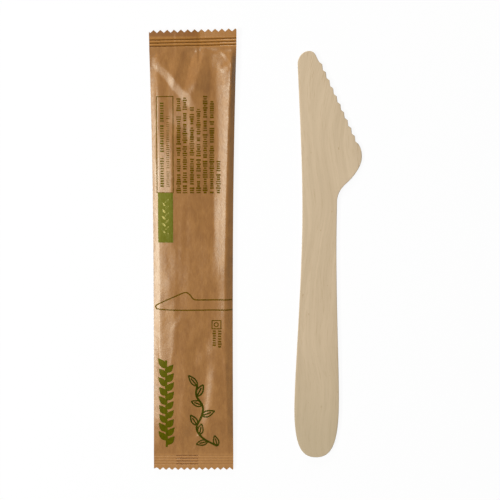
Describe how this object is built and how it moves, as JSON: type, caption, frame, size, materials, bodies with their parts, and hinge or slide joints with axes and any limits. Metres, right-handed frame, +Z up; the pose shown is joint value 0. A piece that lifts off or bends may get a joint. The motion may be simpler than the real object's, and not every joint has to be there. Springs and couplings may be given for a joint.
{
  "type": "wooden cutlery pack",
  "caption": "Sealed kraft-paper sachet holding a disposable wooden knife, lying beside the same knife bare, with a serrated blade and a rounded handle.",
  "frame": {"origin": "centre of the underside of the box around the sachet and the knife, on the surface that both lie on", "axes": "+Z up from the surface, +Y along both pieces towards the knife's blade tip, +X from the sachet to the knife"},
  "size_m": [0.084, 0.1792, 0.0037],
  "materials": {
    "kraft_paper": "satin",
    "birch": "matte"
  },
  "bodies": {
    "root": {"paper_sachet": "kraft_paper", "wooden_knife": "birch"}
  },
  "joints": []
}
